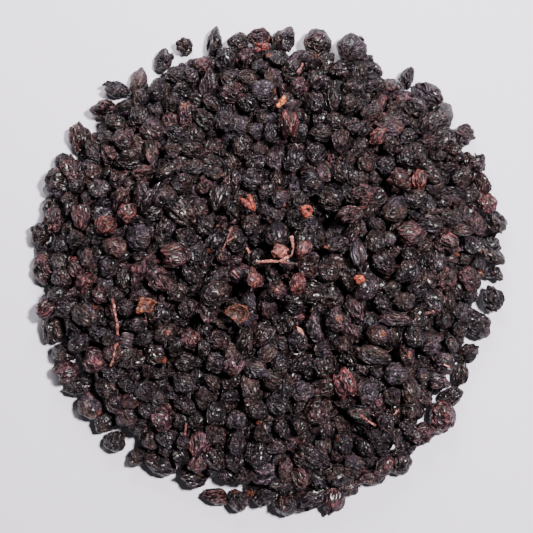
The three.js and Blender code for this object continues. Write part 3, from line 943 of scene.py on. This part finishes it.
def lay_unripe():
    """The brown berry's skin is the unripe one. The others have that of the ripe berries, which
    the ripeness turns red."""
    unripe = unripe_skin()
    ripe = bpy.data.materials["dried_elderberry_skin"]
    for number, (name, (roll, reach, ripeness, bloom, folds)) in enumerate(UNRIPE.items()):
        shape = [length / (2 * BODY_RADIUS) for length in SINGLES[name][1]]
        berry = model_berry(UNRIPE_NUMBER + number, UNRIPE_FLATNESS, shape, folds)
        draw_out(berry, reach)
        thin_out(berry, UNRIPE_TRIANGLES)
        note_relief(berry.data, UNRIPE_STRETCH)
        give_values(berry.data, ripeness=ripeness, bloom=bloom)
        fit_single(berry, name, roll)
        brown = name == "berry_brown"
        if brown:
            berry.data.transform(Matrix.Translation(Vector(BROWN_SHIFT) * MM))
        declare(berry, name, unripe if brown else ripe)


lay_unripe()

# ----------------------------------------
# Husks and scraps. Berry skins that split and lost their flesh, dried to thin open cups with
# curled rims, and torn bits of skin and a bare seed, all amber, orange or red-brown.
# The husks: how far an end is drawn out, how deep the open side is pressed in, the shade from
# 0, dark brown, to 1, amber, and the folds.
HUSKS = {
    "husk_amber": (0.3, 0.8, 0.42, (("dents", 1.6, 2.2), ("ridges", 1.6, 0.7), ("creases", 0.8, 0.3))),
    "husk_brown": (-0.9, 1.5, 0.3, (("dents", 2.4, 1.0), ("ridges", 1.6, 0.6), ("net", 0.9, -0.2))),
}
# As for the unripe berries, and how far a husk is lifted off its bed.
HUSK_NUMBER = 50
HUSK_FLATNESS = 0.8
HUSK_STRETCH = 0.5
HUSK_TRIANGLES = 4000
HUSK_LIFT = 0.4
# The dish in a husk: its reach, as a share of the husk's half length and width, the curve of
# its wall, and the height, as a share of half the husk's, below which the outside stays as it is.
DISH_REACH = 0.8
DISH_POWER = 0.6
DISH_BLEND = 0.3
# The pale line on the rim: how far outside the dish it runs and how wide it is, as shares of it.
RIM_OFFSET, RIM_LINE = 0.12, 0.1
# The scraps: the ripeness, from 0, burgundy, to 1, orange, and the lobes, each with its middle,
# its length, width and height, and its turn in degrees.
SCRAPS = {
    "skin_orange": (0.58, (((-0.5, -0.05, 0), (3.6, 1.3, 1.4), -42), ((0.6, 0.2, 0), (3.6, 1.2, 1.6), -68))),
    "skin_red": (0.38, (((-1.15, -0.3, 0), (1.7, 1.1, 1.0), 10), ((0.8, 0.2, 0), (1.9, 1.9, 1.3), -60),
                        ((-0.2, 0.6, 0), (2.6, 0.6, 0.8), -5))),
    "seed_orange": (0.9, (((0.2, 0.1, 0), (2.3, 1.4, 1.3), 62), ((-0.45, -0.75, 0), (1.1, 0.8, 0.8), 45))),
    "skin_ring": (0.64, (((-0.42, -0.05, 0), (2.3, 1.2, 1.2), -65), ((0.3, -0.75, 0), (1.6, 1.2, 1.1), 40),
                         ((0.9, 0.0, 0), (1.4, 0.6, 0.9), 70), ((0.25, 0.95, 0), (1.6, 0.7, 0.9), -10))),
    "skin_patch": (0.72, (((0, 0, 0), (2.1, 1.7, 1.5), 10), ((-0.7, 0.3, 0), (1.2, 0.9, 1.0), 50))),
}
# As for the husks. The grain is the size of the faces that lobes are run together with.
SCRAP_NUMBER = 60
SCRAP_STRETCH = 0.8
SCRAP_LIFT = 0.9
SCRAP_GRAIN = 0.08
SCRAP_FOLDS = (("dents", 1.2, 0.4), ("ridges", 0.8, 0.22))
# How far apart the scraps are folded, in metres.
SCRAP_STEP = (0.011, 0.005, 0.0)


def husk_skin():
    """Empty elderberry skin: papery, amber to brown, with painted shade in its folds, a painted highlight on
    its fine crease crests, and pale thin rims.
    """
    material, add = new_material("empty_elderberry_husk")
    coords = add("TexCoord", output="Object")
    skin = add("Attribute", output="Vector", attribute_name="skin")
    rim = add("Attribute", output="Fac", attribute_name="rim")
    shade = folded_shade(add, -0.2, 0.2)
    colour, mottle = mottled_colour(add, coords, 0.75 / MM, 0.6, 0.7, shade, (
        (0.0, "#1f1210"), (0.25, "#3a1f1a"), (0.5, "#613327"), (0.75, "#8e4f30"), (1.0, "#b98250")))
    crest = crease_crests(add, skin)
    # Painted highlight on the crease crests, darker between them.
    crest_highlighted = paint_crest_highlight(add, colour, crest, 0.9, 0.5)
    wear_and_shade = add("MapRange", (mottle, 0.42, 0.66, 0.1, 0.9))
    frayed = add("Math", (rim, wear_and_shade), operation="MULTIPLY")
    rimmed = add("Mix", {"Factor": frayed, "A": crest_highlighted, "B": linear("#85533f")}, data_type="RGBA")
    finish_material(add, rimmed, 0.5, 1.45, crest, 0.25)
    return material


def press_in(piece, depth):
    """Sinks the middle of the upper side, so that the skin is a dish with a folded rim."""
    points = np.array([vertex.co for vertex in piece.data.vertices])
    half = (points.max(0) - points.min(0)) / 2
    shares = 1 - ((points[:, :2] / (DISH_REACH * half[:2])) ** 2).sum(1)
    rim = np.exp(-((shares + RIM_OFFSET) / RIM_LINE) ** 2) * (points[:, 2] > 0)
    write_attribute(piece.data, "rim", rim)
    for vertex, share in zip(piece.data.vertices, shares):
        if share > 0 and vertex.co.z > 0:
            blend = min(1, vertex.co.z / (DISH_BLEND * half[2]))
            vertex.co.z -= depth * MM * share ** DISH_POWER * blend


def model_scrap(number, lobes):
    """Flattened balls run together into one crumpled body."""
    clear_selection()
    balls = []
    for middle, size, turn in lobes:
        bpy.ops.mesh.primitive_ico_sphere_add(subdivisions=4, radius=0.5 * MM)
        ball = bpy.context.object
        ball.data.transform(Matrix.Diagonal((*size, 1)))
        ball.data.transform(Matrix.Translation(Vector(middle) * MM)
                            @ Matrix.Rotation(math.radians(turn), 4, "Z"))
        balls.append(ball)
    for ball in balls:
        ball.select_set(True)
    bpy.context.view_layer.objects.active = balls[0]
    bpy.ops.object.join()
    scrap = bpy.context.object
    apply_modifier(scrap, "REMESH", mode="VOXEL", voxel_size=SCRAP_GRAIN * MM)
    fold(scrap, SCRAP_FOLDS, number, SCRAP_STEP)
    bpy.ops.object.shade_smooth()
    return scrap


def lay_husks():
    material = husk_skin()
    for number, (name, (reach, depth, shade, folds)) in enumerate(HUSKS.items()):
        shape = [length / (2 * BODY_RADIUS) for length in SINGLES[name][1]]
        husk = model_berry(HUSK_NUMBER + number, HUSK_FLATNESS, shape, folds)
        press_in(husk, depth)
        draw_out(husk, reach)
        thin_out(husk, HUSK_TRIANGLES)
        note_relief(husk.data, HUSK_STRETCH)
        give_values(husk.data, ripeness=shade)
        fit_single(husk, name)
        husk.data.transform(Matrix.Translation((0, 0, HUSK_LIFT * MM)))
        declare(husk, name, material)


def lay_scraps():
    torn = bpy.data.materials["unripe_elderberry_skin"]
    for number, (name, (shade, lobes)) in enumerate(SCRAPS.items()):
        scrap = model_scrap(SCRAP_NUMBER + number, lobes)
        note_relief(scrap.data, SCRAP_STRETCH)
        give_values(scrap.data, ripeness=shade)
        scrap.data.transform(Matrix.Translation(single_place(name, SCRAP_LIFT)))
        declare(scrap, name, torn)


lay_husks()
lay_scraps()

# ----------------------------------------
# The surface under the heap, a smooth matt board, and the light: one soft key light from the
# upper right, a weak wide fill from behind, and a dim room. Lengths here are in metres.
FLOOR_SIZE = 5.0
# The lights: the angle round and the height in degrees, the distance, the size and the watts.
LIGHTS = {
    "key_light": (28, 66, 0.5, 0.06, 8.5),
    "fill_light": (95, 38, 0.22, 0.14, 0.7),
}
LAMP_COLOUR = (1.0, 0.965, 0.955)
ROOM_COLOUR, ROOM_STRENGTH = "#f1eef2", 0.07


def lay_floor():
    """Coated board: pale grey and matt, with a faint cloudiness a millimetre across."""
    clear_selection()
    bpy.ops.mesh.primitive_plane_add(size=FLOOR_SIZE)
    floor = bpy.context.object
    floor.name = "floor"
    material, add = new_material("pale_board")
    coords = add("TexCoord", output="Object")
    grain = add("TexNoise", {"Vector": coords, "Scale": 0.9 / MM})
    colour = add("ValToRGB", [grain], ((0.0, "#cac6d2"), (1.0, "#d0ccd8")))
    shader = add("BsdfPrincipled", {"Base Color": colour, "Roughness": 0.8})
    add("OutputMaterial", [shader])
    floor.data.materials.append(material)


def add_light(name, turn, height, distance, size, watts):
    turn, height = math.radians(turn), math.radians(height)
    aim = Vector((math.cos(height) * math.cos(turn), math.cos(height) * math.sin(turn), math.sin(height)))
    clear_selection()
    bpy.ops.object.light_add(type="AREA", location=Vector((*VIEW_MIDDLE, 0)) + distance * aim,
                             rotation=aim.to_track_quat("Z", "Y").to_euler())
    light = bpy.context.object
    light.name = name
    light.data.shape = "DISK"
    light.data.size = size
    light.data.energy = watts
    light.data.color = LAMP_COLOUR


def dim_room():
    world = bpy.data.worlds.new("dim_room")
    world.use_nodes = True
    background = world.node_tree.nodes["Background"]
    background.inputs["Color"].default_value = linear(ROOM_COLOUR)
    background.inputs["Strength"].default_value = ROOM_STRENGTH
    bpy.context.scene.world = world


lay_floor()
for name, values in LIGHTS.items():
    add_light(name, *values)
dim_room()
